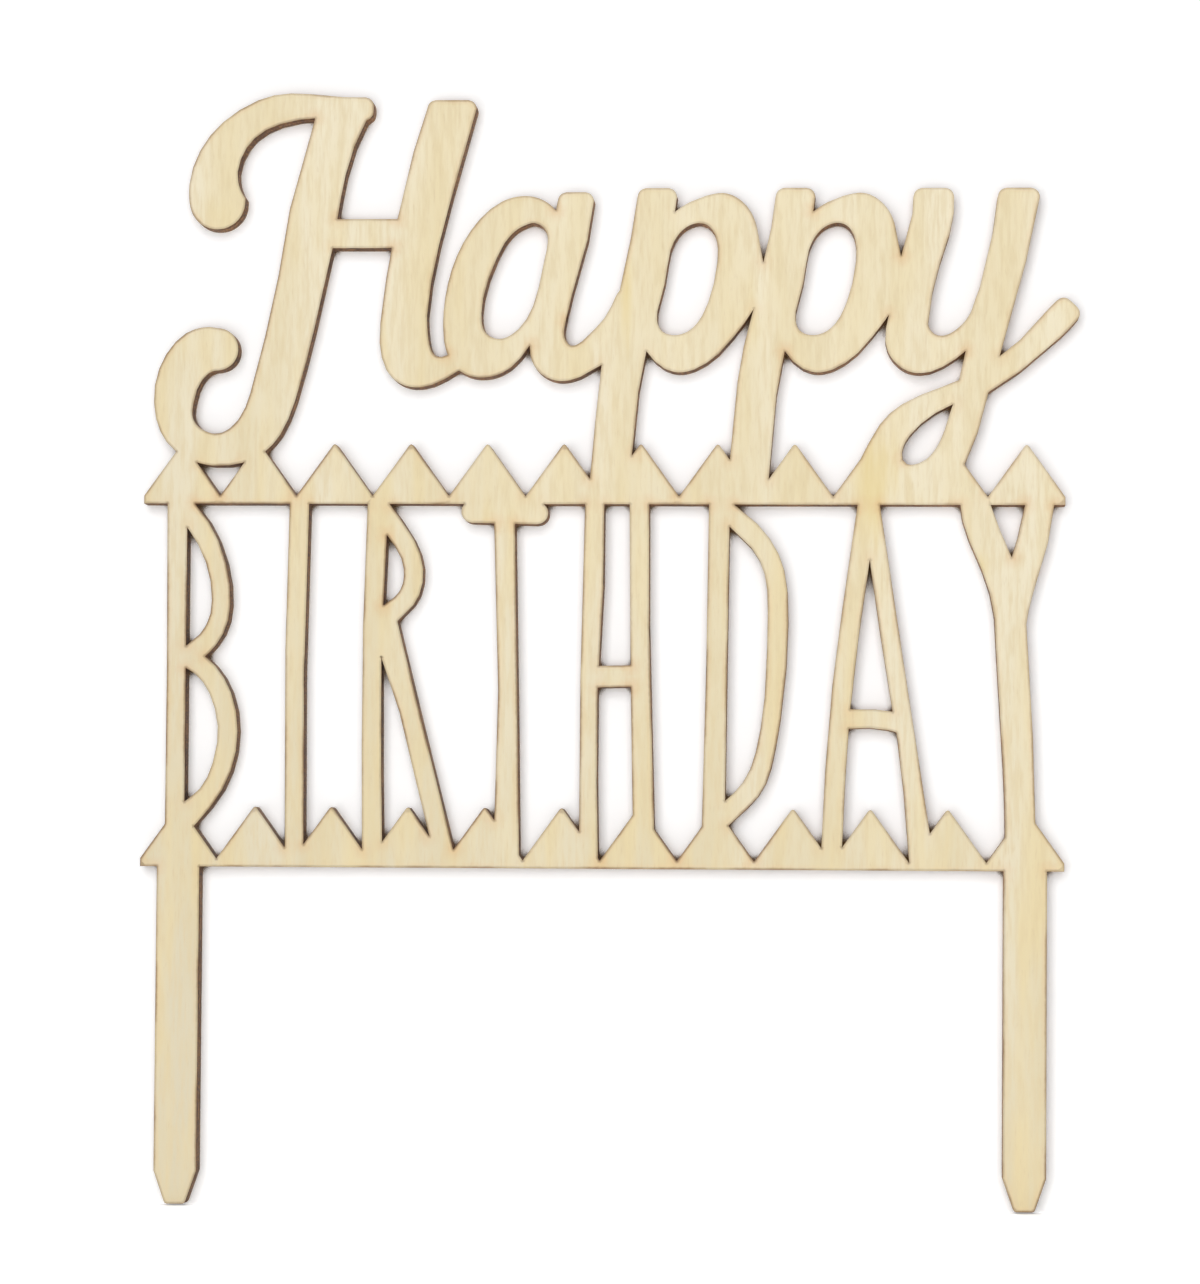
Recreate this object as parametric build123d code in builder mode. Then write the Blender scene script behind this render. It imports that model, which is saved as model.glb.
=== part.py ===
from build123d import *
import os

os.makedirs("parts", exist_ok=True)

# A cake topper laser-cut from one sheet of three-ply wood. All sizes are in millimetres.
# X runs along the rails and Z up. The front faces -Y. Z is zero at the lower edge of the bottom rail,
# which is where the topper meets the top of the cake, and X is zero halfway along the rails.

# Sheet: two face plies and a core ply, with a cured glue line in each joint
FACE_PLY = 0.9
CORE_PLY = 1.0
GLUE_LINE = 0.1

# Laser: it follows curves in straight runs that stray no further than this from them
CUT_DEVIATION = 0.07

# Rails: two toothed strips, one under each word
RAIL_LENGTH = 148.0
RAIL_PITCH = 58.4
RAIL_WEB = 1.3
TOOTH_HEIGHT = 8.6
TOOTH_COUNT = 12
TOOTH_TIP_RADIUS = 0.35

# Stakes: two flat legs that go into the cake
STAKE_LENGTH = 54.0
STAKE_WIDTH = 6.9
STAKE_POINT_LENGTH = 5.3
STAKE_POINT_WIDTH = 3.2
STAKE_POINT_RADIUS = 0.5

# Lower word: tall thin capitals between the rails
CAPITAL_STROKE = 3.3

# Upper word: a brush script that stands on the upper rail
SCRIPT_HEIGHT = 66.5
SCRIPT_STROKE = 7.5
SCRIPT_CORNER = 1.4

# Values that follow from the sizes above
RAIL_LEFT = -RAIL_LENGTH / 2
TOOTH_PITCH = RAIL_LENGTH / TOOTH_COUNT
STAKE_PLACE = (RAIL_LENGTH - TOOTH_PITCH) / 2

# Cells of the capitals: left edge and width, as shares of the rail's length
CAPITAL_CELL_SHARES = {
    "b": (0.0236, 0.0811),
    "i": (0.1554, 0.0270),
    "r": (0.2392, 0.1014),
    "t": (0.3466, 0.0946),
    "h": (0.4764, 0.0845),
    "d": (0.6095, 0.0932),
    "a": (0.7399, 0.1162),
    "y": (0.8865, 0.1014),
}

# Strokes of the capitals. Each row is a point on a stroke's middle line, across and up its cell,
# and the width there as a share of the stroke. Up is a share of the pitch of the rails.
CAPITAL_STROKE_SHARES = {
    "b": (
        ((0.160, 1.05, 1.00), (0.170, 0.50, 0.93), (0.165, -0.05, 0.97)),
        (
            (0.200, 1.000, 1.00), (0.450, 0.940, 1.02), (0.685, 0.840, 0.94), (0.765, 0.740, 0.92),
            (0.700, 0.660, 0.94), (0.500, 0.605, 0.97), (0.250, 0.570, 1.00),
        ),
        (
            (0.200, 0.580, 1.00), (0.570, 0.540, 0.97), (0.800, 0.460, 1.00), (0.872, 0.370, 0.97),
            (0.790, 0.270, 0.97), (0.600, 0.195, 0.97), (0.355, 0.145, 1.21), (0.200, 0.107, 1.20),
        ),
    ),
    "i": (
        (
            (0.475, 1.05, 0.97), (0.590, 0.89, 0.95), (0.500, 0.75, 0.96), (0.420, 0.55, 0.95),
            (0.410, 0.36, 0.90), (0.480, 0.00, 0.97),
        ),
    ),
    "r": (
        (
            (0.165, 1.05, 1.00), (0.150, 0.86, 0.98), (0.115, 0.60, 0.95), (0.120, 0.30, 0.95),
            (0.140, -0.05, 1.03),
        ),
        (
            (0.180, 0.990, 1.00), (0.390, 0.918, 1.00), (0.550, 0.830, 0.94), (0.505, 0.750, 0.95),
            (0.375, 0.712, 1.00), (0.150, 0.665, 1.00),
        ),
        (
            (0.262, 0.672, 1.15), (0.324, 0.60, 1.17), (0.440, 0.50, 0.97), (0.650, 0.30, 1.00),
            (0.800, 0.15, 1.00), (0.960, -0.02, 1.00),
        ),
    ),
    "t": (
        (
            (0.507, 1.05, 1.03), (0.514, 0.77, 0.97), (0.550, 0.51, 0.92), (0.562, 0.34, 0.99),
            (0.557, 0.17, 1.18), (0.550, 0.00, 1.25),
        ),
    ),
    "h": (
        (
            (0.178, 1.05, 0.95), (0.186, 0.86, 0.94), (0.166, 0.68, 0.92), (0.125, 0.49, 0.86),
            (0.118, 0.30, 0.87), (0.145, -0.05, 0.90),
        ),
        (
            (0.760, 1.05, 0.97), (0.762, 0.75, 0.93), (0.788, 0.51, 0.96), (0.815, 0.33, 1.00),
            (0.830, -0.05, 1.06),
        ),
        ((0.150, 0.526, 1.06), (0.780, 0.529, 1.06)),
    ),
    "d": (
        (
            (0.195, 1.05, 1.03), (0.175, 0.77, 1.02), (0.165, 0.50, 1.02), (0.145, 0.20, 1.10),
            (0.140, -0.05, 1.12),
        ),
        (
            (0.200, 0.990, 1.00), (0.500, 0.938, 1.00), (0.780, 0.850, 0.97), (0.875, 0.685, 1.00),
            (0.850, 0.514, 0.93), (0.755, 0.342, 0.89), (0.583, 0.224, 1.00), (0.360, 0.168, 1.00),
            (0.100, 0.110, 1.00),
        ),
    ),
    "a": (
        (
            (0.432, 1.05, 1.00), (0.297, 0.77, 0.97), (0.184, 0.51, 0.98), (0.119, 0.26, 1.00),
            (0.080, -0.05, 1.00),
        ),
        (
            (0.383, 1.05, 1.00), (0.564, 0.77, 0.95), (0.689, 0.51, 0.92), (0.792, 0.34, 0.90),
            (0.866, 0.17, 1.06), (0.940, -0.05, 1.10),
        ),
        ((0.150, 0.410, 0.95), (0.350, 0.415, 0.92), (0.550, 0.412, 0.92), (0.780, 0.396, 1.00)),
    ),
    "y": (
        (
            (0.160, 1.05, 1.30), (0.227, 0.94, 1.56), (0.369, 0.856, 1.58), (0.480, 0.77, 1.50),
            (0.540, 0.685, 1.50), (0.562, 0.60, 1.55), (0.603, 0.43, 1.53), (0.637, 0.26, 1.48),
            (0.650, -0.05, 1.52),
        ),
        (
            (0.855, 1.05, 1.30), (0.810, 0.94, 1.46), (0.722, 0.856, 1.48), (0.620, 0.77, 1.50),
            (0.545, 0.66, 1.45),
        ),
    ),
}
CAPITAL_BAR_SHARES = ((0.129, 0.979, 1.09), (0.879, 0.975, 1.09))

# Cells of the script's letters: left edge and width as shares of the rail's length, then the cell's
# bottom and height as shares of the script's height
SCRIPT_CELL_SHARES = {
    "h": (0.0068, 0.3514, 0.0992, 0.9023),
    "a": (0.3243, 0.1757, 0.3023, 0.4586),
    "p": (0.4899, 0.1689, 0.0, 0.7820),
    "y": (0.7973, 0.2196, 0.0, 0.7820),
}
SECOND_P_SHARE = 0.15

# Strokes of the script, in the same rows as the capitals, each in its letter's cell
H_SWASH_SHARES = (
    (0.658, 0.955, 0.50), (0.500, 0.962, 0.52), (0.400, 0.957, 0.63), (0.285, 0.912, 0.70),
    (0.222, 0.852, 0.84), (0.190, 0.780, 1.00), (0.200, 0.705, 1.22),
)
H_STEM_SHARES = (
    (0.600, 0.960, 1.05), (0.530, 0.800, 1.02), (0.483, 0.580, 1.06), (0.455, 0.450, 1.01),
    (0.418, 0.310, 1.00), (0.382, 0.190, 0.99), (0.322, 0.080, 0.92), (0.200, 0.035, 0.69),
    (0.088, 0.090, 0.77), (0.069, 0.157, 0.85), (0.103, 0.260, 0.97), (0.158, 0.303, 1.00),
    (0.204, 0.306, 0.93),
)
H_RIGHT_STEM_SHARES = (
    (0.928, 0.955, 1.07), (0.910, 0.900, 1.10), (0.877, 0.800, 1.05), (0.848, 0.700, 1.03),
    (0.810, 0.550, 0.98), (0.790, 0.440, 0.98), (0.784, 0.360, 0.98),
)
H_FOOT_SHARES = (
    (0.720, 0.440), (0.709, 0.350), (0.716, 0.285), (0.750, 0.228), (0.810, 0.203), (0.880, 0.212),
    (0.955, 0.248), (1.000, 0.290), (0.960, 0.320), (0.915, 0.288), (0.885, 0.288), (0.863, 0.325),
    (0.857, 0.380), (0.840, 0.450), (0.780, 0.470),
)
H_BAR_SHARES = ((0.500, 0.618, 0.63), (0.840, 0.618, 0.63))
A_BOWL_SHARES = (
    (0.500, 0.972), (0.360, 0.940), (0.200, 0.820), (0.080, 0.640), (0.020, 0.450), (0.005, 0.280),
    (0.040, 0.120), (0.130, 0.032), (0.250, 0.007), (0.380, 0.035), (0.500, 0.125), (0.620, 0.320),
    (0.720, 0.620), (0.740, 0.840), (0.640, 0.940),
)
A_STEM_SHARES = (
    (0.823, 0.945, 0.78), (0.812, 0.870, 0.80), (0.768, 0.700, 0.79), (0.710, 0.500, 0.74),
    (0.665, 0.330, 0.76),
)
A_TAIL_SHARES = (
    (0.620, 0.360), (0.550, 0.220), (0.555, 0.100), (0.620, 0.025), (0.720, -0.010), (0.820, 0.000),
    (0.940, 0.050), (1.060, 0.130), (1.140, 0.300), (1.175, 0.440), (1.125, 0.478), (1.038, 0.370),
    (0.950, 0.270), (0.870, 0.203), (0.800, 0.178), (0.758, 0.225), (0.770, 0.340), (0.720, 0.420),
)
A_COUNTER_SHARES = (
    (0.540, 0.825), (0.440, 0.780), (0.340, 0.650), (0.270, 0.490), (0.243, 0.340), (0.270, 0.245),
    (0.350, 0.213), (0.460, 0.255), (0.540, 0.345), (0.600, 0.500), (0.640, 0.670), (0.648, 0.770),
    (0.615, 0.812),
)
P_STEM_SHARES = (
    (0.400, 0.953, 0.85), (0.375, 0.860, 0.84), (0.330, 0.740, 0.90), (0.270, 0.600, 0.88),
    (0.190, 0.450, 0.88), (0.147, 0.300, 0.85), (0.115, 0.120, 0.86), (0.090, -0.050, 0.86),
)
P_BOWL_SHARES = (
    (0.800, 0.965), (0.660, 0.947), (0.500, 0.900), (0.350, 0.720), (0.310, 0.500), (0.420, 0.430),
    (0.540, 0.407), (0.660, 0.420), (0.820, 0.475), (0.940, 0.545), (1.022, 0.602), (1.074, 0.675),
    (1.085, 0.745), (1.060, 0.810), (1.025, 0.885), (0.930, 0.945),
)
P_COUNTER_SHARES = (
    (0.660, 0.872), (0.560, 0.848), (0.505, 0.810), (0.465, 0.720), (0.425, 0.630), (0.402, 0.575),
    (0.430, 0.538), (0.520, 0.523), (0.620, 0.540), (0.710, 0.600), (0.770, 0.690), (0.792, 0.780),
    (0.770, 0.840), (0.725, 0.865),
)
Y_ARM_SHARES = (
    (0.272, 0.952, 0.87), (0.258, 0.860, 0.86), (0.200, 0.740, 0.84), (0.158, 0.620, 0.86),
    (0.150, 0.560, 0.84),
)
Y_FOOT_SHARES = (
    (0.060, 0.600), (0.037, 0.530), (0.043, 0.482), (0.075, 0.445), (0.130, 0.416), (0.200, 0.405),
    (0.275, 0.413), (0.360, 0.440), (0.440, 0.480), (0.530, 0.560), (0.575, 0.650), (0.530, 0.682),
    (0.455, 0.592), (0.400, 0.548), (0.340, 0.524), (0.285, 0.524), (0.251, 0.548), (0.245, 0.600),
    (0.200, 0.660), (0.110, 0.660),
)
Y_STEM_SHARES = (
    (0.690, 0.952, 0.90), (0.668, 0.860, 0.85), (0.628, 0.750, 0.82), (0.588, 0.650, 0.81),
    (0.528, 0.500, 0.76), (0.487, 0.400, 0.68), (0.453, 0.320, 0.68), (0.419, 0.240, 0.68),
    (0.353, 0.148, 0.73), (0.240, 0.075, 0.88), (0.080, 0.085, 0.95),
)
Y_TAIL_SHARES = (
    (-0.080, 0.020, 0.90), (0.035, 0.155, 0.82), (0.100, 0.238, 0.68), (0.220, 0.298, 0.56),
    (0.295, 0.322, 0.48), (0.450, 0.360, 0.50), (0.600, 0.413, 0.53), (0.760, 0.493, 0.53),
    (0.870, 0.562, 0.61), (0.930, 0.602, 0.60),
)
Y_LOOP_SHARES = (
    (0.370, 0.310), (0.280, 0.281), (0.165, 0.218), (0.122, 0.160), (0.140, 0.128), (0.205, 0.128),
    (0.295, 0.180), (0.335, 0.240), (0.370, 0.310),
)


def capital_cell(name):
    """Gives a function that turns shares of a capital's cell into a place on the cutting drawing."""
    left_share, width_share = CAPITAL_CELL_SHARES[name]
    left = RAIL_LEFT + left_share * RAIL_LENGTH
    width = width_share * RAIL_LENGTH
    return lambda across, up: Vector(left + across * width, up * RAIL_PITCH)


def script_cell(name, shift_share=0):
    """Gives the same for a letter of the script, moved along the rail by a share of its length."""
    left_share, width_share, bottom_share, height_share = SCRIPT_CELL_SHARES[name]
    left = RAIL_LEFT + (left_share + shift_share) * RAIL_LENGTH
    width = width_share * RAIL_LENGTH
    bottom = RAIL_PITCH + bottom_share * SCRIPT_HEIGHT
    height = height_share * SCRIPT_HEIGHT
    return lambda across, up: Vector(left + across * width, bottom + up * height)


def end_cap(point, outward, half, corner):
    """Closes a stroke's end in the open line: square, or flat with two rounded corners."""
    across = outward.rotate(Axis.Z, 90)
    sides = (point + across * half, point - across * half)
    if not corner:
        Line(*sides)
        return
    radius = min(corner, half)
    edge = point + outward * radius
    tips = (edge + across * (half - radius), edge - across * (half - radius))
    for side, tip in zip(sides, tips):
        TangentArc(side, tip, tangent=outward)
    if radius < half:
        Line(*tips)


def brush(place, stroke, rows, start_corner=0, finish_corner=0, level_start=False):
    """Adds a stroke of changing width to the open sketch. A level start is cut off straight across."""
    points = [place(across, up) for across, up, _ in rows]
    halves = [stroke * width / 2 for _, _, width in rows]
    last = len(points) - 1
    befores = points[:1] + points[:-1]
    afters = points[1:] + points[-1:]
    directions = [(after - before).normalized() for before, after in zip(befores, afters)]
    if level_start:
        directions[0] = Vector(0, -1)
    offsets = [direction.rotate(Axis.Z, 90) * half for direction, half in zip(directions, halves)]
    with BuildLine() as outline:
        for side in (1, -1):
            edge = [point + offset * side for point, offset in zip(points, offsets)]
            if last > 1:
                Spline(*edge)
            else:
                Line(*edge)
        end_cap(points[0], -directions[0], halves[0], start_corner)
        end_cap(points[last], directions[last], halves[last], finish_corner)
    make_face(outline.edges())


def loop(place, rows, mode=Mode.ADD, pointed=False):
    """Adds or cuts a closed curve. A pointed one starts and ends at its point."""
    points = [place(across, up) for across, up in rows]
    with BuildLine() as outline:
        Spline(*points, periodic=not pointed)
    make_face(outline.edges(), mode=mode)


# Rail: a narrow web with a row of triangular teeth, drawn on its lower edge
with BuildSketch() as rail:
    Rectangle(RAIL_LENGTH, RAIL_WEB, align=(Align.CENTER, Align.MIN))
    with Locations((0, RAIL_WEB)):
        with GridLocations(TOOTH_PITCH, 0, TOOTH_COUNT, 1):
            Polygon((-TOOTH_PITCH / 2, 0), (TOOTH_PITCH / 2, 0), (0, TOOTH_HEIGHT), align=None)
    fillet(rail.vertices().group_by(Axis.Y)[-1], TOOTH_TIP_RADIUS)

# Stake: a straight leg that tapers to a blunt point, drawn from the rail's lower edge
with BuildSketch() as stake:
    shoulder = STAKE_POINT_LENGTH - STAKE_LENGTH
    with BuildLine():
        Polyline(
            (-STAKE_WIDTH / 2, RAIL_WEB),
            (-STAKE_WIDTH / 2, shoulder),
            (-STAKE_POINT_WIDTH / 2, -STAKE_LENGTH),
            (STAKE_POINT_WIDTH / 2, -STAKE_LENGTH),
            (STAKE_WIDTH / 2, shoulder),
            (STAKE_WIDTH / 2, RAIL_WEB),
            close=True,
        )
    make_face()
    fillet(stake.vertices().group_by(Axis.Y)[0], STAKE_POINT_RADIUS)

# Lower word: the capitals run from the bottom rail's lower edge up into the web of the upper rail
with BuildSketch() as capitals:
    for letter, strokes in CAPITAL_STROKE_SHARES.items():
        for rows in strokes:
            brush(capital_cell(letter), CAPITAL_STROKE, rows)
    brush(capital_cell("t"), CAPITAL_STROKE, CAPITAL_BAR_SHARES, CAPITAL_STROKE, CAPITAL_STROKE)
    Rectangle(RAIL_LENGTH, RAIL_PITCH + RAIL_WEB, align=(Align.CENTER, Align.MIN), mode=Mode.INTERSECT)

# Upper word: each letter runs into the next, and its feet go down to the upper rail's lower edge
with BuildSketch() as script_h:
    cell = script_cell("h")
    brush(cell, SCRIPT_STROKE, H_SWASH_SHARES, SCRIPT_CORNER, SCRIPT_STROKE)
    brush(cell, SCRIPT_STROKE, H_STEM_SHARES, 0, SCRIPT_STROKE)
    brush(cell, SCRIPT_STROKE, H_RIGHT_STEM_SHARES, SCRIPT_CORNER, level_start=True)
    loop(cell, H_FOOT_SHARES)
    brush(cell, SCRIPT_STROKE, H_BAR_SHARES)

with BuildSketch() as script_a:
    cell = script_cell("a")
    loop(cell, A_BOWL_SHARES)
    brush(cell, SCRIPT_STROKE, A_STEM_SHARES, SCRIPT_CORNER, level_start=True)
    loop(cell, A_TAIL_SHARES)
    loop(cell, A_COUNTER_SHARES, Mode.SUBTRACT)

with BuildSketch() as script_pp:
    for shift_share in (0, SECOND_P_SHARE):
        cell = script_cell("p", shift_share)
        brush(cell, SCRIPT_STROKE, P_STEM_SHARES, SCRIPT_CORNER, level_start=True)
        loop(cell, P_BOWL_SHARES)
    for shift_share in (0, SECOND_P_SHARE):
        loop(script_cell("p", shift_share), P_COUNTER_SHARES, Mode.SUBTRACT)

with BuildSketch() as script_y:
    cell = script_cell("y")
    brush(cell, SCRIPT_STROKE, Y_ARM_SHARES, SCRIPT_CORNER, level_start=True)
    loop(cell, Y_FOOT_SHARES)
    brush(cell, SCRIPT_STROKE, Y_STEM_SHARES, SCRIPT_CORNER, level_start=True)
    brush(cell, SCRIPT_STROKE, Y_TAIL_SHARES, 0, SCRIPT_CORNER)

with BuildSketch() as script:
    for letter in (script_h, script_a, script_pp, script_y):
        add(letter.sketch)
    Rectangle(RAIL_LENGTH, RAIL_PITCH, align=(Align.CENTER, Align.MIN), mode=Mode.SUBTRACT)

# Cutting drawing: one outline for the whole sheet
with BuildSketch() as cutting:
    with Locations((0, 0), (0, RAIL_PITCH)):
        add(rail.sketch)
    with Locations((-STAKE_PLACE, 0), (STAKE_PLACE, 0)):
        add(stake.sketch)
    add(capitals.sketch)
    add(script.sketch)
    loop(script_cell("y"), Y_LOOP_SHARES, Mode.SUBTRACT, pointed=True)

# Cutting path: the same outline in the laser's straight runs, the outer line first and then the windows
with BuildSketch() as path:
    for drawing in cutting.faces():
        for wire in (drawing.outer_wire(), *drawing.inner_wires()):
            with BuildLine():
                for edge in wire.edges():
                    Polyline(*edge.positions(deflection=CUT_DEVIATION))
            make_face(mode=Mode.SUBTRACT if path.faces() else Mode.ADD)

# Plies: each layer of the sheet is the same outline at its own depth, from the back to the front
LAYERS = {
    "back_veneer": FACE_PLY,
    "back_glue_line": GLUE_LINE,
    "core_veneer": CORE_PLY,
    "front_glue_line": GLUE_LINE,
    "front_veneer": FACE_PLY,
}
depth = -sum(LAYERS.values()) / 2
for name, thickness in LAYERS.items():
    with BuildPart() as layer:
        with BuildSketch(Plane.XZ.offset(depth)):
            add(path.sketch)
        extrude(amount=thickness)
    layer.part.label = name
    export_step(layer.part, f"parts/{name}.step")
    depth += thickness
    print(name, round(layer.part.volume), "mm3 in", len(layer.part.solids()), "solid")
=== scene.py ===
# %% [markdown]
# # A laser-cut cake topper
# The topper is one sheet of thin three-ply wood: two words, two saw-tooth rails and two stakes in a single
# cutting. The CAD model brings the exact sheet as five layers, and this lesson gives the layers their wood, their
# glue and the brown line that the laser leaves on every cut.

# %% Open the frame
import math

import bmesh
import bpy
from mathutils import Matrix, Vector
from mathutils.kdtree import KDTree


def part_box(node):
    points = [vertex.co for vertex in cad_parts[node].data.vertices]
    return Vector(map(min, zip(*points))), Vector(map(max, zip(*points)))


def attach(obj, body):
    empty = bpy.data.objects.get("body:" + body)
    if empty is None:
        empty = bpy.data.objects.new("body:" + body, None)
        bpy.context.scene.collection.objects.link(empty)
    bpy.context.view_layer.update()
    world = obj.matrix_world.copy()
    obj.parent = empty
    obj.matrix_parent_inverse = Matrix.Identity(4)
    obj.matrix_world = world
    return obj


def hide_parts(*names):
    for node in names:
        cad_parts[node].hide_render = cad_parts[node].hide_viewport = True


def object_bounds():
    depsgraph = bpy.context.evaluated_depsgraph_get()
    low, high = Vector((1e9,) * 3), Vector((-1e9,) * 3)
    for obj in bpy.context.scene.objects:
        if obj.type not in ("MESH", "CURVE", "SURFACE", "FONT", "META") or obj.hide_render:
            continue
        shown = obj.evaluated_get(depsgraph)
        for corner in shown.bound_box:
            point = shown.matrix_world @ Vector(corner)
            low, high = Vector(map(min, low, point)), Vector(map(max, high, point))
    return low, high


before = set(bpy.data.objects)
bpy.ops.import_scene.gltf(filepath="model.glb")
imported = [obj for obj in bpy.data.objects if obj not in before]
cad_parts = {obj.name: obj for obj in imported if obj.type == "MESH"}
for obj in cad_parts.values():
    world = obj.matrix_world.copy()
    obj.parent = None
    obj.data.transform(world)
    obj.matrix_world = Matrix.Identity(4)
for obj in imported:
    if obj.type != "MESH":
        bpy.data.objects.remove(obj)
cad_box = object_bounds()
MM = 0.001
print("layers:", sorted(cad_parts))
print("sheet in mm:", [round(v / MM, 2) for v in cad_box[1] - cad_box[0]])


# %% [markdown]
# ## Working as by hand
# Operators act on whatever is selected, so each step starts by clearing the selection and making one object
# active. Faces, edges and points are then picked in code, by their place or by the way they face.

# %% Selection helpers
def hold(piece):
    """Leaves only this object selected and active."""
    bpy.ops.object.select_all(action="DESELECT")
    piece.select_set(True)
    bpy.context.view_layer.objects.active = piece


def edit(piece, mode="VERT"):
    """Opens one object in edit mode with nothing selected."""
    hold(piece)
    bpy.ops.object.mode_set(mode="EDIT")
    bpy.ops.mesh.select_mode(type=mode)
    bpy.ops.mesh.select_all(action="DESELECT")


def close_edit():
    """Goes back to object mode, which writes the edited mesh down."""
    bpy.ops.object.mode_set(mode="OBJECT")


def pick(piece, kind, test):
    """Selects the points, edges or faces of the open mesh that pass a test, and tells how many."""
    mesh = bmesh.from_edit_mesh(piece.data)
    passed = [part for part in getattr(mesh, kind) if test(part)]
    bpy.ops.mesh.select_all(action="DESELECT")
    for part in passed:
        part.select_set(True)
    mesh.select_flush_mode()
    bmesh.update_edit_mesh(piece.data)
    return len(passed)


def copy_of(piece, name):
    """A copy with a mesh of its own."""
    made = bpy.data.objects.new(name, piece.data.copy())
    made.data.name = name
    bpy.context.scene.collection.objects.link(made)
    return made


# %% [markdown]
# ## The cut line
# A laser follows one closed line round the whole figure and one round every window. It could be drawn again as
# curves, but it is already in the CAD layer, as the rim of its front face. A copy of that layer is merged, and
# everything but the rim is deleted. While the faces are still there, each point keeps the turn of the line and the
# longer of its two runs: left turns are outer corners, and right turns are the inner corners where the beam slows
# down.

# %% Lift the front face
MERGE = 0.001 * MM
FACING = 0.9

cut_line = copy_of(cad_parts["front_veneer"], "cut_line")
edit(cut_line)
bpy.ops.mesh.select_all(action="SELECT")
bpy.ops.mesh.remove_doubles(threshold=MERGE)
bpy.ops.mesh.customdata_custom_splitnormals_clear()
bpy.ops.mesh.select_mode(type="FACE")
dropped = pick(cut_line, "faces", lambda face: face.normal.y > -FACING)
bpy.ops.mesh.delete(type="FACE")
print("faces deleted behind the front:", dropped)

# %% Keep the turns and the rim
mesh = bmesh.from_edit_mesh(cut_line.data)
turn = mesh.verts.layers.float.new("turn")
longest = mesh.verts.layers.float.new("longest")
mesh.verts.index_update()
arrives, leaves = {}, {}
for rim in mesh.edges:
    if rim.is_boundary:
        start = rim.link_loops[0].vert
        end = rim.other_vert(start)
        run = end.co - start.co
        leaves[start.index], arrives[end.index] = run, run
for point in mesh.verts:
    a, b = arrives[point.index], leaves[point.index]
    point[turn] = math.degrees(math.atan2(a.x * b.z - a.z * b.x, a.dot(b)))
    point[longest] = max(a.length, b.length)
bmesh.update_edit_mesh(cut_line.data)

bpy.ops.mesh.select_all(action="SELECT")
bpy.ops.mesh.region_to_loop()
bpy.ops.mesh.select_all(action="INVERT")
bpy.ops.mesh.delete(type="EDGE")
close_edit()
print("cut line points:", len(cut_line.data.vertices), "runs:", len(cut_line.data.edges))

# %% [markdown]
# ## Smoothing the line
# The CAD line is made of short straight runs, and a close look at a curve would show them. Subdividing would round
# the true corners too, so only the points where the line turns a little between two short runs are bevelled, which
# rounds these into each other. True corners, and the ends of long straight sides, such as the shoulders of the
# stakes, stay as they are. The inner corners get a small round of their own, because a laser beam is round and
# can't cut a sharp one.

# %% Round the runs and the inner corners
STRAIGHT_TURN = 0.4
CURVE_TURN = 32.0
SHARP_TURN = 70.0
BEAM_ROUND = 0.11 * MM
RUN_SHARE = 36.0
ROUND_STEPS = 3
SHORTEST_RUN = 0.04 * MM
LONG_RUN = 2.0 * MM


def kept_at(piece, name):
    """Reads what a point of the open mesh has kept: its turn in degrees, or its longest run."""
    layer = bmesh.from_edit_mesh(piece.data).verts.layers.float[name]
    return lambda point: point[layer]


def on_curve(angle, reach):
    """A test for the points where two short runs of a curve meet."""
    return lambda point: STRAIGHT_TURN < abs(angle(point)) <= CURVE_TURN and reach(point) < LONG_RUN


edit(cut_line)
angle = kept_at(cut_line, "turn")
inner = pick(cut_line, "verts", lambda point: angle(point) < -CURVE_TURN)
sharp_corners = [
    point.co.copy() for point in bmesh.from_edit_mesh(cut_line.data).verts if angle(point) < -SHARP_TURN
]
bpy.ops.mesh.bevel(offset=BEAM_ROUND, offset_type="OFFSET", segments=ROUND_STEPS, affect="VERTICES")
short_runs_meet = on_curve(kept_at(cut_line, "turn"), kept_at(cut_line, "longest"))
shallow = pick(cut_line, "verts", short_runs_meet)
bpy.ops.mesh.bevel(offset_pct=RUN_SHARE, offset_type="PERCENT", segments=ROUND_STEPS, affect="VERTICES")
bpy.ops.mesh.select_all(action="SELECT")
bpy.ops.mesh.remove_doubles(threshold=SHORTEST_RUN)
close_edit()
print("inner corners:", inner, "sharp ones:", len(sharp_corners))
print("rounded runs:", shallow, "points now:", len(cut_line.data.vertices))

# %% [markdown]
# ## The flat face
# Fill turns the closed lines into one face with its windows left open, as the offcuts drop out of the real sheet.
# The layers below only show their cut sides, so this plain fill is enough for them.

# %% Fill the line
edit(cut_line, "EDGE")
bpy.ops.mesh.select_all(action="SELECT")
bpy.ops.mesh.fill(use_beauty=True)
bpy.ops.mesh.select_all(action="SELECT")
bpy.ops.mesh.delete_loose(use_verts=True, use_edges=True, use_faces=False)
bpy.ops.mesh.select_all(action="SELECT")
if sum(face.normal.y for face in bmesh.from_edit_mesh(cut_line.data).faces) > 0:
    bpy.ops.mesh.flip_normals()
close_edit()
area = sum(face.area for face in cut_line.data.polygons)
print("face triangles:", len(cut_line.data.polygons), "area in mm2:", round(area / MM**2, 1))

# %% [markdown]
# ## A face that knows how near the cut is
# The burn is darkest at the cut and fades within a millimetre. A shader has no plain way to measure that, so the
# face gets points where the fading happens: an inset gives it a narrow ring along every edge, and a row of
# bisects cuts the rest into small squares. Each point then keeps two distances, to the nearest cut and to the
# nearest sharp inner corner, for the wood to read.

# %% Ring and squares
BURN_RING = 0.22 * MM
SQUARE = 0.75 * MM
FLAT = math.radians(0.5)
X, Z = 0, 2

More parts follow.
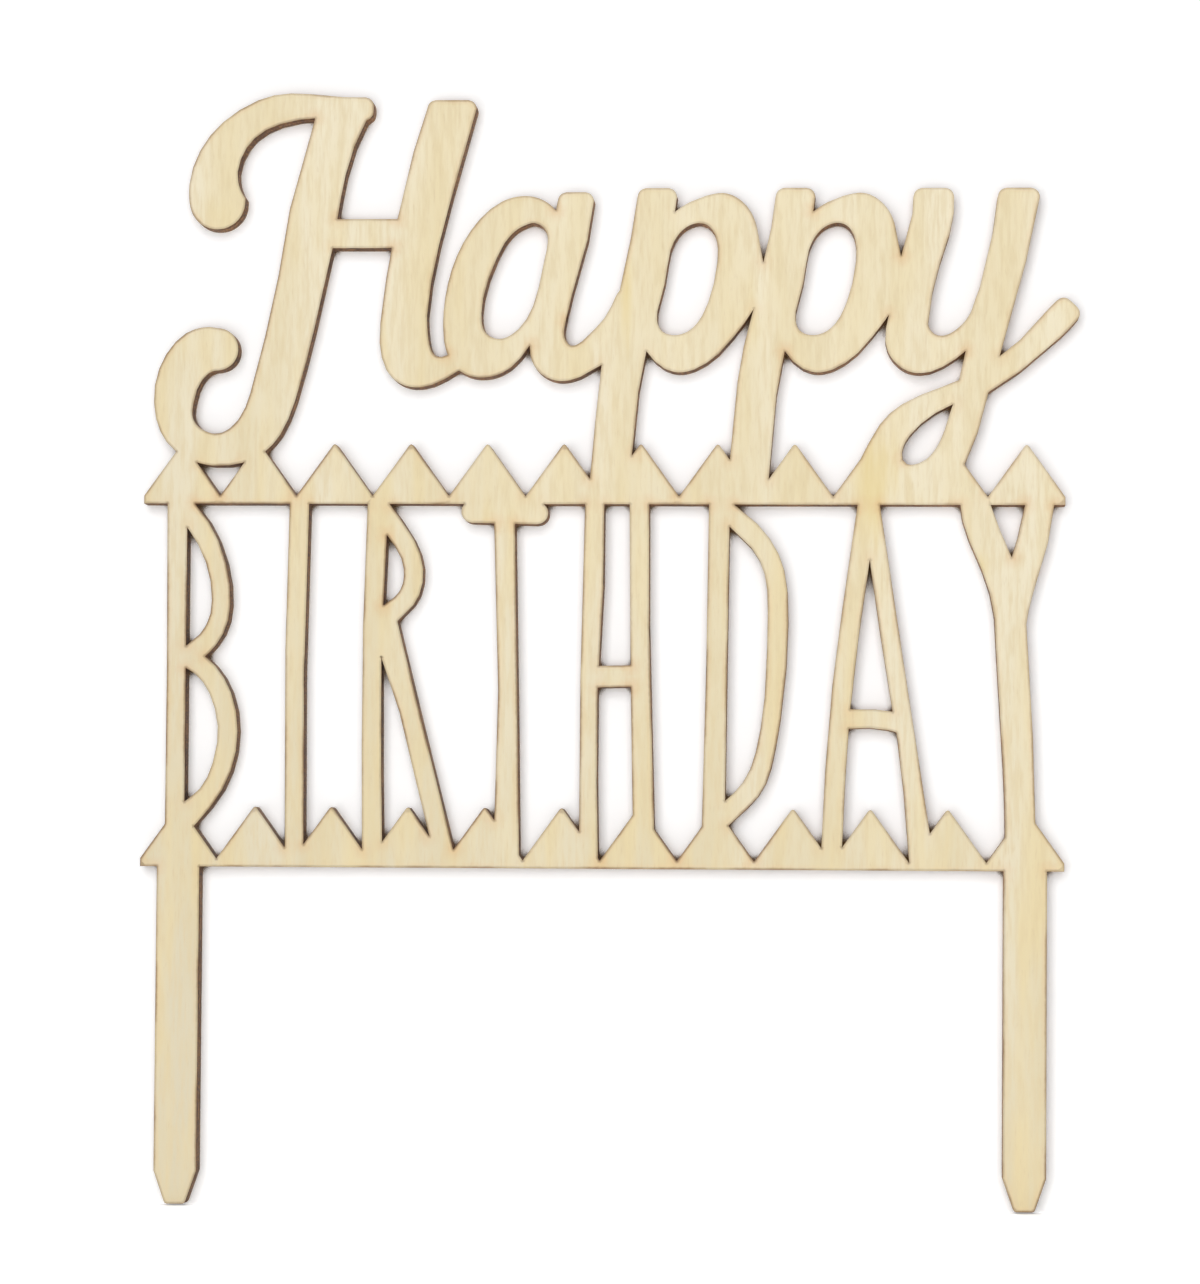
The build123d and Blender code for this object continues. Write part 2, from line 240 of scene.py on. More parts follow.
face_sheet = copy_of(cut_line, "face_sheet")
edit(face_sheet, "FACE")
bpy.ops.mesh.select_all(action="SELECT")
bpy.ops.mesh.inset(thickness=BURN_RING, use_boundary=True, use_even_offset=True, use_relative_offset=False)
crossed = pick(face_sheet, "faces", lambda face: face.normal.y > 0)
if crossed:
    bpy.ops.mesh.merge(type="COLLAPSE")
pick(face_sheet, "faces", lambda face: not any(point.is_boundary for point in face.verts))
bpy.ops.mesh.dissolve_limited(angle_limit=FLAT, use_dissolve_boundaries=False)
low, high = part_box("front_veneer")
for axis in (X, Z):
    across = [0.0, 0.0, 0.0]
    across[axis] = 1.0
    for step in range(1, int((high[axis] - low[axis]) / SQUARE) + 1):
        place = [low[i] + across[i] * step * SQUARE for i in range(3)]
        bpy.ops.mesh.select_all(action="SELECT")
        bpy.ops.mesh.bisect(plane_co=place, plane_no=across)
bpy.ops.mesh.select_all(action="SELECT")
bpy.ops.mesh.quads_convert_to_tris(quad_method="BEAUTY", ngon_method="BEAUTY")
close_edit()
turned = sum(face.normal.y > 0 for face in face_sheet.data.polygons)
print("face triangles:", len(face_sheet.data.polygons))
print("ring crossings merged:", crossed, "turned over:", turned)

# %% Distances to the cut
SAMPLE = 0.1 * MM


def finder(points):
    """A tree that finds the nearest of many points."""
    made = KDTree(len(points))
    for number, point in enumerate(points):
        made.insert(point, number)
    made.balance()
    return made


rim_uses = {}
for face in cut_line.data.polygons:
    for key in face.edge_keys:
        rim_uses[key] = rim_uses.get(key, 0) + 1
along_cut = []
for (first, last), uses in rim_uses.items():
    if uses == 1:
        a, b = (cut_line.data.vertices[number].co for number in (first, last))
        steps = max(1, math.ceil((b - a).length / SAMPLE))
        along_cut += [a.lerp(b, step / steps) for step in range(steps)]
for name, points in (("from_cut", along_cut), ("from_corner", sharp_corners)):
    nearest = finder(points)
    stored = face_sheet.data.attributes.new(name, "FLOAT", "POINT")
    for point in face_sheet.data.vertices:
        _, _, distance = nearest.find(point.co)
        stored.data[point.index].value = distance / MM
    values = [entry.value for entry in stored.data]
    print(name, "mm from", round(min(values), 3), "to", round(max(values), 2))


# %% [markdown]
# ## Giving a layer its thickness
# The rim of the flat face is extruded through the layer's thickness, which makes the cut side, and the far rim is
# filled. A Solidify modifier would do the same, but then the far face would repeat all the small squares. The
# layer's own CAD node says where it starts and ends, so nothing has to be fitted.

# %% Cut the layers
def cut_layer(flat, name, node):
    """One ply or glue line: the flat figure, pulled through the thickness of its CAD node."""
    low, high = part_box(node)
    layer = copy_of(flat, name)
    edit(layer)
    bpy.ops.mesh.select_all(action="SELECT")
    bpy.ops.transform.translate(value=(0, low.y - layer.data.vertices[0].co.y, 0))
    bpy.ops.mesh.select_mode(type="EDGE")
    pick(layer, "edges", lambda rim: rim.is_boundary)
    bpy.ops.mesh.extrude_region_move(TRANSFORM_OT_translate={"value": (0, high.y - low.y, 0)})
    bpy.ops.mesh.fill(use_beauty=True)
    bpy.ops.mesh.select_all(action="SELECT")
    bpy.ops.mesh.normals_make_consistent(inside=False)
    close_edit()
    return layer


layers = {
    "face_ply_front": cut_layer(face_sheet, "face_ply_front", "front_veneer"),
    "glue_front": cut_layer(cut_line, "glue_front", "front_glue_line"),
    "core_ply": cut_layer(cut_line, "core_ply", "core_veneer"),
    "glue_back": cut_layer(cut_line, "glue_back", "back_glue_line"),
}
for name, layer in layers.items():
    print(name, "faces:", len(layer.data.polygons))

# %% [markdown]
# ## The burnt rim
# The beam takes the very edge of the face ply with it, so the rim isn't knife-sharp. A small bevel along the
# front rim catches the light like the real one. The back ply is the front one mirrored, with a mesh of its own.

# %% Ease the rim and mirror the back
RIM_EASE = 0.06 * MM
RIM_STEPS = 2
SIDEWAYS = 0.3


def is_rim(edge):
    """An edge between the flat face and a cut side."""
    facing = sorted(face.normal.y for face in edge.link_faces)
    return len(facing) == 2 and facing[0] < -FACING and abs(facing[1]) < SIDEWAYS


front = layers["face_ply_front"]
edit(front, "EDGE")
eased = pick(front, "edges", is_rim)
bpy.ops.mesh.bevel(offset=RIM_EASE, segments=RIM_STEPS, affect="EDGES", clamp_overlap=False)
close_edit()

back = layers["face_ply_back"] = copy_of(front, "face_ply_back")
edit(back)
bpy.ops.mesh.select_all(action="SELECT")
bpy.ops.transform.mirror(constraint_axis=(False, True, False), center_override=(0, 0, 0))
bpy.ops.mesh.normals_make_consistent(inside=False)
close_edit()
back_start = min(point.co.y for point in back.data.vertices)
print("rim edges eased:", eased, "back ply from y mm", round(back_start / MM, 2))

# %% [markdown]
# ## Colours and nodes in a line each
# A picture's colour values are bent for the screen, and a shader wants them straight. One small helper turns the
# colours that one can read off a screen into shader colours, by the usual screen curve. The others add and join
# shader nodes in one line each, so that a finish reads from top to bottom as it is laid on.

# %% Colour and node helpers
def tone(red, green, blue):
    """Screen values from 0 to 255 as a shader colour."""
    def straight(value):
        share = value / 255
        return share / 12.92 if share <= 0.04045 else ((share + 0.055) / 1.055) ** 2.4
    return (straight(red), straight(green), straight(blue), 1.0)


def put(tree, socket, value):
    """Joins an output to a socket, or sets the socket to a plain value."""
    if isinstance(value, bpy.types.NodeSocket):
        tree.links.new(value, socket)
    else:
        socket.default_value = value


def add(tree, kind, settings=None, **sockets):
    """Adds a node. Settings are its own fields, and sockets are inputs by name: values, or outputs to join."""
    made = tree.nodes.new("ShaderNode" + kind)
    for field, value in (settings or {}).items():
        setattr(made, field, value)
    for name, value in sockets.items():
        put(tree, made.inputs[name.replace("_", " ")], value)
    return made


def math_of(tree, operation, first, second):
    """One sum of two values."""
    made = add(tree, "Math", {"operation": operation})
    put(tree, made.inputs[0], first)
    put(tree, made.inputs[1], second)
    return made.outputs[0]


def vector_of(tree, operation, first, second=None):
    """One sum of two vectors, as the node's outputs."""
    made = add(tree, "VectorMath", {"operation": operation})
    put(tree, made.inputs[0], first)
    if second is not None:
        put(tree, made.inputs[1], second)
    return made.outputs


print("birch as a shader colour:", [round(v, 3) for v in tone(236, 221, 186)])

# %% Mask and noise helpers
MIX_AMOUNT, MIX_UNDER, MIX_OVER, MIX_RESULT = 0, 6, 7, 2
VALUE, VECTOR = "NodeSocketFloat", "NodeSocketVector"


def fade(tree, value, start, end, first=1.0, last=0.0):
    """Runs smoothly from first to last while the value goes from start to end."""
    made = add(tree, "MapRange", {"interpolation_type": "SMOOTHSTEP"}, Value=value)
    made.inputs["From Min"].default_value, made.inputs["From Max"].default_value = start, end
    made.inputs["To Min"].default_value, made.inputs["To Max"].default_value = first, last
    return made.outputs["Result"]


def blend(tree, amount, under, over, way="MIX"):
    """Lays one colour over another by a mask."""
    made = add(tree, "Mix", {"data_type": "RGBA", "blend_type": way})
    put(tree, made.inputs[MIX_AMOUNT], amount)
    put(tree, made.inputs[MIX_UNDER], under)
    put(tree, made.inputs[MIX_OVER], over)
    return made.outputs[MIX_RESULT]


def noise(tree, where, stretch, size, detail=2.0, roughness=0.5):
    """Noise on stretched millimetre coordinates: one lump is about size mm wide."""
    pulled = vector_of(tree, "MULTIPLY", where, stretch)[0]
    made = add(tree, "TexNoise", Vector=pulled, Scale=1 / size, Detail=detail, Roughness=roughness)
    return made.outputs["Fac"]


def group(name, takes, gives):
    """A node group with named inputs and outputs, and its two end nodes."""
    tree = bpy.data.node_groups.new(name, "ShaderNodeTree")
    for label, kind in takes:
        tree.interface.new_socket(label, in_out="INPUT", socket_type=kind)
    for label in gives:
        tree.interface.new_socket(label, in_out="OUTPUT", socket_type=VALUE)
    return tree, tree.nodes.new("NodeGroupInput").outputs, tree.nodes.new("NodeGroupOutput").inputs


print("groups so far:", len(bpy.data.node_groups))

# %% [markdown]
# ## Wood grain
# Peeled veneer has broad soft bands, thinner streaks, fine fibres and short pores, all running the same way. A
# picture of veneer would blur from near, and noise that is stretched along the grain stays crisp and never repeats.
# It sits in one group, because both faces use it, each at its own place in the wood. The group takes millimetre
# coordinates with the grain along Z.

# %% Grain group
BANDS = {"stretch": (1, 1, 0.09), "size": 10.0}
STREAKS = {"stretch": (1, 1, 0.13), "size": 3.4}
FIBRES = {"stretch": (1, 1, 0.13), "size": 0.60, "roughness": 0.55}
PORES = {"stretch": (1, 1, 0.14), "size": 0.30, "detail": 1.0}
PORE_EDGE = (0.60, 0.74, 0.0, 1.0)
PORE_DEPTH = 0.3

grain, takes, gives = group("veneer_grain", [("Vector", VECTOR)], ["Band", "Streak", "Fibre", "Pore", "Height"])
fibre = noise(grain, takes["Vector"], **FIBRES)
pore = fade(grain, noise(grain, takes["Vector"], **PORES), *PORE_EDGE)
put(grain, gives["Band"], noise(grain, takes["Vector"], **BANDS))
put(grain, gives["Streak"], noise(grain, takes["Vector"], **STREAKS))
put(grain, gives["Fibre"], fibre)
put(grain, gives["Pore"], pore)
put(grain, gives["Height"], math_of(grain, "SUBTRACT", fibre, math_of(grain, "MULTIPLY", pore, PORE_DEPTH)))
print("grain group gives:", [socket.name for socket in gives if socket.name])

# %% [markdown]
# ## Laser scorch
# Beside every cut there is a thin brown line, then a faint tan fade, and in inner corners, where the beam turns
# slowly, a warm breath of smoke. The group reads the two kept distances and gives three masks. A little noise
# makes their edges wavy and their strength patchy, which keeps them from looking drawn.

# %% Scorch group
WOBBLE = {"stretch": (1, 1, 1), "size": 0.9, "detail": 3.0}
PATCHES = {"stretch": (1, 1, 0.7), "size": 8.0}
PATCH_EDGE = (0.36, 0.66, 0.15, 1.0)
LINE_BY_PATCH = (0.15, 1.0, 0.50, 1.0)
# For each mark: how wavy it is, and the distances between which it fades, all in mm, and its strength at the cut.
LINE_AT_CUT = (0.16, 0.04, 0.48, 1.0)
LINE_AT_CORNER = (0.3, 0.05, 0.55, 0.8)
TAN_AT_CUT = (0.5, 0.1, 1.1, 1.0)
SMOKE_AT_CORNER = (1.2, 0.3, 2.4, 1.0)

scorch, takes, gives = group(
    "laser_scorch", [("Vector", VECTOR), ("Cut", VALUE), ("Corner", VALUE)], ["Line", "Fade", "Smoke"]
)
wobble = math_of(scorch, "SUBTRACT", noise(scorch, takes["Vector"], **WOBBLE), 0.5)
patch = fade(scorch, noise(scorch, takes["Vector"], **PATCHES), *PATCH_EDGE)


def mark(distance, waves, start, end, strength):
    """A mask that is strongest at the cut and ends in a wavy edge."""
    wavy = math_of(scorch, "ADD", distance, math_of(scorch, "MULTIPLY", wobble, waves))
    return fade(scorch, wavy, start, end, strength, 0.0)


line = math_of(scorch, "MULTIPLY", mark(takes["Cut"], *LINE_AT_CUT), fade(scorch, patch, *LINE_BY_PATCH))
put(scorch, gives["Line"], math_of(scorch, "MAXIMUM", line, mark(takes["Corner"], *LINE_AT_CORNER)))
put(scorch, gives["Fade"], math_of(scorch, "MULTIPLY", mark(takes["Cut"], *TAN_AT_CUT), patch))
put(scorch, gives["Smoke"], math_of(scorch, "MULTIPLY", mark(takes["Corner"], *SMOKE_AT_CORNER), patch))
print("scorch group gives:", [socket.name for socket in gives if socket.name])

# %% [markdown]
# ## Warm stains
# No board is one colour all over. The photographed face has a few honey-coloured places, each a soft spot that is
# longer along the grain. A group turns a centre and a spread, in millimetres, into a mask with a broken edge.

# %% Stain group
RAGS = {"stretch": (1, 1, 0.12), "size": 1.6, "detail": 3.0}
RAG_REACH = 0.9
STAIN_EDGE = (0.45, 1.45)

stain, takes, gives = group(
    "warm_stain", [("Vector", VECTOR), ("Centre", VECTOR), ("Spread", VECTOR)], ["Mask"]
)
away = vector_of(stain, "SUBTRACT", takes["Vector"], takes["Centre"])[0]
share = vector_of(stain, "DIVIDE", away, takes["Spread"])[0]
far = vector_of(stain, "LENGTH", share)["Value"]
ragged = math_of(stain, "MULTIPLY", noise(stain, takes["Vector"], **RAGS), RAG_REACH)
put(stain, gives["Mask"], fade(stain, math_of(stain, "ADD", far, ragged), *STAIN_EDGE))
print("stain group gives:", [socket.name for socket in gives if socket.name])


# %% [markdown]
# ## The face of the sheet
# The real face is bare birch with its fibres running up the words: pale straw with honey streaks. The material lays
# the grain first, with a painted shade over it that darkens the face and deepens the honey towards the lower left,
# then the stains, the tan fade and the smoke, and last the brown cut line, which the painted shade makes stronger
# at the lower left too. Layers of colour with a mask each are easier to tune than one long sum.

# %% Material helpers
def placed(tree, shift):
    """The piece's own coordinates in millimetres, moved to another place in the wood."""
    where = add(tree, "TexCoord").outputs["Object"]
    made = add(tree, "Mapping", {"vector_type": "POINT"}, Vector=where)
    made.inputs["Scale"].default_value = (1 / MM,) * 3
    made.inputs["Location"].default_value = shift
    return made.outputs["Vector"]


def use(tree, inner, **sockets):
    """Places a node group and gives its outputs."""
    made = add(tree, "Group", {"node_tree": inner})
    for name, value in sockets.items():
        put(tree, made.inputs[name], value)
    return made.outputs


def fresh(name):
    """An empty material with a Principled shader."""
    made = bpy.data.materials.new(name)
    made.use_nodes = True
    tree = made.node_tree
    tree.nodes.clear()
    shader = add(tree, "BsdfPrincipled")
    add(tree, "OutputMaterial", Surface=shader.outputs[0])
    return made, tree, shader


def kept(tree, name):
    """A distance that the points of the face have kept."""
    return add(tree, "Attribute", {"attribute_name": name}).outputs["Fac"]


def shade_falloff(tree, where, way, start, end):
    """How far a place lies down and to the left, from 0 at the upper right corner to 1: the share of painted shade
    there.
    """
    along = vector_of(tree, "DOT_PRODUCT", where, way)["Value"]
    return fade(tree, along, start, end, 0.0, 1.0)


print("groups for the materials:", sorted(inner.name for inner in bpy.data.node_groups))

# %% Face colours
PALE = tone(243, 232, 203)
STRAW = tone(237, 223, 187)
HONEY = tone(233, 212, 157)
FIBRE = tone(224, 205, 163)
PORE = tone(206, 182, 142)
STAIN = tone(232, 211, 152)
TAN = tone(222, 186, 138)
SMOKE = tone(220, 170, 114)
BURN = tone(112, 78, 48)
# Painted shade: the face colour is multiplied down to this at the lower left.
SHADED = (0.74, 0.73, 0.71, 1.0)
# The way that a painted shade falls off, and where it starts and ends along that way, in mm.
FACE_SHADE_FALLOFF = ((-0.40, 0.0, -0.92), -150.0, 150.0)
SIDE_LIGHT_FALLOFF = ((-0.64, 0.0, -0.77), -145.0, 85.0)
# For each stain: its centre and its spread in mm, and its strength. All go right through the sheet.
THROUGH = 40.0
STAINS = (
    ((43.5, 0, 62.0), (5.5, THROUGH, 15.0), 0.74),
    ((3.6, 0, 92.0), (1.6, THROUGH, 11.0), 0.70),
    ((-63.0, 0, 105.0), (5.0, THROUGH, 4.0), 0.20),
    ((-67.0, 0, 84.0), (4.0, THROUGH, 4.5), 0.15),
    ((-17.0, 0, 56.0), (4.0, THROUGH, 4.0), 0.20),
    ((24.0, 0, 88.0), (1.4, THROUGH, 9.0), 0.35),
    ((60.6, 0, 48.6), (2.0, THROUGH, 3.5), 0.60),
)
print("stains:", len(STAINS))

# %% Face material
# For each mask: the values between which it fades, and the strengths from which and to which it does.
BAND_MASK = (0.34, 0.66, 0.0, 1.0)
STREAK_MASK = (0.38, 0.74, 0.0, 0.56)
# Painted shade: the honey streaks deepen towards the lower left and thin out towards the upper right.
HONEY_BY_SHADE = (0.0, 0.45, 0.40, 1.0)
FIBRE_MASK = (0.36, 0.74, 0.0, 0.52)
# Painted shade: the burn line grows stronger towards the lower left.
BURN_BY_SHADE = (0.0, 0.7, 0.45, 0.80)
FACE_ROUGH = (0.3, 0.7, 0.52, 0.68)
PORE_SHARE, TAN_SHARE, SMOKE_SHARE = 0.16, 0.36, 0.28
FACE_BUMP = {"Strength": 0.25, "Distance": 0.03 * MM}
FACE_SHINE = 0.3


def face_wood(name, shift):
    """Bare birch with its scorched edges and a painted shade towards the lower left, at one place in the wood."""
    made, tree, shader = fresh(name)
    where = placed(tree, shift)
    wood = use(tree, grain, Vector=where)
    marks = use(tree, scorch, Vector=where, Cut=kept(tree, "from_cut"), Corner=kept(tree, "from_corner"))
    lower_left_shade = shade_falloff(tree, where, *FACE_SHADE_FALLOFF)
    # Real honey streaks, which the painted shade deepens towards the lower left.
    honey_and_shade = math_of(
        tree, "MULTIPLY", fade(tree, wood["Streak"], *STREAK_MASK), fade(tree, lower_left_shade, *HONEY_BY_SHADE)
    )
    # burnt is the real burn line's strength, raised by painted shade towards the lower left.
    burnt = fade(tree, shade_falloff(tree, where, *SIDE_LIGHT_FALLOFF), *BURN_BY_SHADE)

    colour = blend(tree, fade(tree, wood["Band"], *BAND_MASK), PALE, STRAW)
    # Painted shade: the face darkens towards the lower left.
    colour = blend(tree, lower_left_shade, colour, SHADED, "MULTIPLY")
    colour = blend(tree, honey_and_shade, colour, HONEY)
    colour = blend(tree, fade(tree, wood["Fibre"], *FIBRE_MASK), colour, FIBRE)
    colour = blend(tree, math_of(tree, "MULTIPLY", wood["Pore"], PORE_SHARE), colour, PORE)
    for centre, spread, strength in STAINS:
        spot = use(tree, stain, Vector=where, Centre=centre, Spread=spread)["Mask"]
        colour = blend(tree, math_of(tree, "MULTIPLY", spot, strength), colour, STAIN)
    colour = blend(tree, math_of(tree, "MULTIPLY", marks["Fade"], TAN_SHARE), colour, TAN)
    colour = blend(tree, math_of(tree, "MULTIPLY", marks["Smoke"], SMOKE_SHARE), colour, SMOKE)
    colour = blend(tree, math_of(tree, "MULTIPLY", marks["Line"], burnt), colour, BURN)

    bump = add(tree, "Bump", Height=wood["Height"], **FACE_BUMP)
    put(tree, shader.inputs["Base Color"], colour)
    put(tree, shader.inputs["Roughness"], fade(tree, wood["Fibre"], *FACE_ROUGH))
    put(tree, shader.inputs["Normal"], bump.outputs["Normal"])
    shader.inputs["Specular IOR Level"].default_value = FACE_SHINE
    return made


front_wood = face_wood("birch_front", (0, 0, 0))
back_wood = face_wood("birch_back", (41.0, 17.0, 63.0))
print("face materials:", front_wood.name, back_wood.name)

# %% [markdown]
# ## The cut sides
# Every cut side is toasted by the beam: dark brown, with fine strokes straight through the sheet. Over that lies a
# painted light that makes the sides a step lighter towards the upper right, as the painted shade on the face does.
# The face plies toast evenly, the core shows its grain end-on and a little lighter, and the glue lines burn almost
# black. One function makes the three finishes, with the strokes pulled along Y, through the thickness.

# %% Cut side materials
STROKES = {"stretch": (1, 0.12, 1), "size": 0.28, "detail": 3.0, "roughness": 0.6}
TOAST = {"stretch": (1, 0.5, 1), "size": 4.0}
STROKE_SHARE, TOAST_SHARE = 0.6, 0.4
SIDE_MASK = (0.38, 0.64, 0.0, 1.0)
SIDE_ROUGH = (0.3, 0.7, 0.6, 0.8)
SIDE_BUMP = {"Strength": 0.5, "Distance": 0.05 * MM}
SIDE_SHINE = 0.25
# Painted light: the cut sides are multiplied up to this at the upper right.
SIDE_PAINTED_LIGHT = (1.75, 1.68, 1.60, 1.0)


def cut_side(name, dark, light, shift):
    """Toasted wood or glue, between a dark and a light tone, with painted light towards the upper right, at one
    place in the wood.
    """
    made, tree, shader = fresh(name)
    where = placed(tree, shift)
    strokes = noise(tree, where, **STROKES)
    toast = noise(tree, where, **TOAST)
    mixed = math_of(
        tree, "ADD",
        math_of(tree, "MULTIPLY", strokes, STROKE_SHARE),
        math_of(tree, "MULTIPLY", toast, TOAST_SHARE),
    )
    # Painted light: the cut sides get lighter towards the upper right.
    upper_right_light = math_of(tree, "SUBTRACT", 1.0, shade_falloff(tree, where, *SIDE_LIGHT_FALLOFF))
    colour = blend(tree, fade(tree, mixed, *SIDE_MASK), dark, light)
    colour = blend(tree, upper_right_light, colour, SIDE_PAINTED_LIGHT, "MULTIPLY")
    bump = add(tree, "Bump", Height=strokes, **SIDE_BUMP)
    put(tree, shader.inputs["Base Color"], colour)
    put(tree, shader.inputs["Roughness"], fade(tree, strokes, *SIDE_ROUGH))
    put(tree, shader.inputs["Normal"], bump.outputs["Normal"])
    shader.inputs["Specular IOR Level"].default_value = SIDE_SHINE
    return made


face_cut = cut_side("toasted_face_ply", tone(72, 48, 30), tone(126, 92, 60), (0, 0, 0))
core_cut = cut_side("toasted_core_ply", tone(68, 45, 28), tone(134, 98, 64), (13, 5, 29))
glue_cut = cut_side("burnt_glue", tone(40, 27, 18), tone(74, 50, 32), (7, 3, 11))
print("cut sides:", face_cut.name, core_cut.name, glue_cut.name)

# %% [markdown]
# ## Dressing the layers
# A layer that shows its face has two finishes, so its cut sides and eased rim are picked by the way they face and
# given the second. Each layer then rides on the sheet's only body and takes the place of its CAD node, which is
# hidden.

# %% Dress the layers
CUT_SIDE = 0.6
SMOOTH = math.radians(35)
DRESS = {
    "face_ply_front": ("front_veneer", "face_veneer", (front_wood, face_cut)),
    "glue_front": ("front_glue_line", "glue_line", (glue_cut,)),
    "core_ply": ("core_veneer", "core_veneer", (core_cut,)),
    "glue_back": ("back_glue_line", "glue_line", (glue_cut,)),
    "face_ply_back": ("back_veneer", "face_veneer", (back_wood, face_cut)),
}
for name, (node, slot, finishes) in DRESS.items():
    layer = layers[name]
    layer.data.materials.clear()
    for finish in finishes:
        layer.data.materials.append(finish)
    sides = 0
    for face in layer.data.polygons:
        face.material_index = int(len(finishes) > 1 and abs(face.normal.y) < CUT_SIDE)
        sides += face.material_index
    hold(layer)
    bpy.ops.object.shade_smooth_by_angle(angle=SMOOTH)
    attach(layer, "root")
    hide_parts(node)
    print(name, "faces:", len(layer.data.polygons), "in the second finish:", sides)
for scrap in (cut_line, face_sheet):
    bpy.data.objects.remove(scrap)

# %% [markdown]
# ## Backdrop and floor
# The topper was photographed against plain white, close enough to cast a soft grey edge. A white sheet stands just
# behind it and a white floor lies just under the stakes. Both take real light and shadow, and for the camera alone
# they are printed a step lighter, so that lit paper is pure white. Ambient occlusion tells how much open air a spot
# has: the paper in the narrowest notches gets a painted brown shade, where only toasted wood would reflect light,
# and the floor gets a painted shade round the feet. Neither paper casts a shadow, and seen from behind the backdrop
# isn't there, so that the back of the topper is lit and shows too.

# %% Paper that is white for the camera
PAPER = (0.9, 0.9, 0.9, 1.0)
PAPER_ROUGH = 0.9
AIR_SAMPLES = 8


def seen_straight(tree):
    """1 where the picture shows a surface: straight on, in a gloss or through glass."""
    path = add(tree, "LightPath").outputs
    seen = math_of(tree, "MAXIMUM", path["Is Camera Ray"], path["Is Glossy Ray"])
    return math_of(tree, "MAXIMUM", seen, path["Is Transmission Ray"])


def open_air(tree, reach):
    """How much of the space within reach of a spot is empty, from 0 to 1."""
    return add(tree, "AmbientOcclusion", {"samples": AIR_SAMPLES}, Distance=reach).outputs["AO"]


def matt_paper(name):
    """Paper without gloss, and the mask that tells where the picture shows it."""
    made, tree, shader = fresh(name)
    shader.inputs["Roughness"].default_value = PAPER_ROUGH
    shader.inputs["Specular IOR Level"].default_value = 0.0
    return made, tree, shader, seen_straight(tree)


print("paper for the light:", PAPER[:3])

# %% Backdrop and floor papers
LIT_BACKDROP = (1.12, 1.12, 1.12, 1.0)
NOTCH = 1.5 * MM
NOTCH_MASK = (0.34, 0.54, 0.0, 1.0)
# Painted shade: the paper in the narrowest notches is printed this brown.
NOTCH_SHADE = (0.15, 0.09, 0.04, 1.0)
LIT_FLOOR = (1.2, 1.2, 1.2, 1.0)
FLOOR_GLOW = (0.42, 0.42, 0.42, 1.0)
DARK = (0.0, 0.0, 0.0, 1.0)
FOOT = 25.0 * MM
FOOT_MASK = (0.25, 0.95, 0.72, 1.0)


def backdrop_paper():
    """White from the front, with a painted brown shade in the notches, and not there from behind."""
    made, tree, shader, seen = matt_paper("backdrop_white")
    # Painted shade where little open air is left round the paper.
    air = fade(tree, open_air(tree, NOTCH), *NOTCH_MASK)
    printed = blend(tree, air, NOTCH_SHADE, LIT_BACKDROP)
    put(tree, shader.inputs["Base Color"], blend(tree, seen, PAPER, printed))
    mixed = add(tree, "MixShader")
    put(tree, mixed.inputs[0], add(tree, "NewGeometry").outputs["Backfacing"])
    put(tree, mixed.inputs[1], shader.outputs[0])
    put(tree, mixed.inputs[2], add(tree, "BsdfTransparent").outputs[0])
    end = next(node for node in tree.nodes if node.type == "OUTPUT_MATERIAL")
    put(tree, end.inputs["Surface"], mixed.outputs[0])
    return made


def floor_paper():
    """White as far as the picture shows it, and shaded round the feet."""
    made, tree, shader, seen = matt_paper("floor_white")
    contact = fade(tree, open_air(tree, FOOT), *FOOT_MASK)
    printed = blend(tree, 1.0, LIT_FLOOR, contact, "MULTIPLY")
    glowing = blend(tree, 1.0, FLOOR_GLOW, contact, "MULTIPLY")
    put(tree, shader.inputs["Base Color"], blend(tree, seen, PAPER, printed))
    put(tree, shader.inputs["Emission Color"], blend(tree, seen, DARK, glowing))
    shader.inputs["Emission Strength"].default_value = 1.0
    return made


backdrop_white, floor_white = backdrop_paper(), floor_paper()
print("papers:", backdrop_white.name, floor_white.name)

# %% Set up the paper
BACKDROP_WIDE = 0.42
FLOOR_WIDE = 0.9
PAPER_GAP = 0.1 * MM
FLOOR_DROP = 0.25 * MM
LYING = (0, 0, 0)
UPRIGHT = (math.radians(90), 0, 0)


def sheet_of_paper(name, wide, place, turn, finish):
    """A square of paper that belongs to the set and not to the topper."""
    bpy.ops.object.select_all(action="DESELECT")
    bpy.ops.mesh.primitive_plane_add(size=wide, location=place, rotation=turn)
    made = bpy.context.active_object
    made.name = name
    made.data.materials.append(finish)
    made.visible_shadow = False


low, high = cad_box
floor_height = low.z - FLOOR_DROP
backdrop_depth = high.y + PAPER_GAP
sheet_of_paper("floor", FLOOR_WIDE, (0, 0, floor_height), LYING, floor_white)
behind_sheet = (0, backdrop_depth, floor_height + BACKDROP_WIDE / 2)
sheet_of_paper("backdrop", BACKDROP_WIDE, behind_sheet, UPRIGHT, backdrop_white)
print("floor at z mm", round(floor_height / MM, 2), "backdrop at y mm", round(backdrop_depth / MM, 2))

# %% [markdown]
# ## Light
# The picture has the even light of a photographer's tent. A big soft box in front lights the face and leaves only
# a narrow soft edge of shadow on the paper, and a second one behind keeps the back of the sheet as readable as the
# front. The surround is white for the camera and plain for the wood.

# %% Surround
SURROUND = 0.17
WHITE = (1, 1, 1, 1)

world = bpy.data.worlds.new("studio")
bpy.context.scene.world = world
world.use_nodes = True
tree = world.node_tree
tree.nodes.clear()
level = add(tree, "MapRange", Value=seen_straight(tree))
level.inputs["To Min"].default_value = SURROUND
level.inputs["To Max"].default_value = 1.0
glow = add(tree, "Background", Color=WHITE, Strength=level.outputs["Result"])
add(tree, "OutputWorld", Surface=glow.outputs[0])
bpy.context.scene.view_settings.view_transform = "Standard"
print("surround for the wood:", SURROUND)

# %% Soft boxes
BOX_WIDE, BOX_TALL = 0.75, 0.95
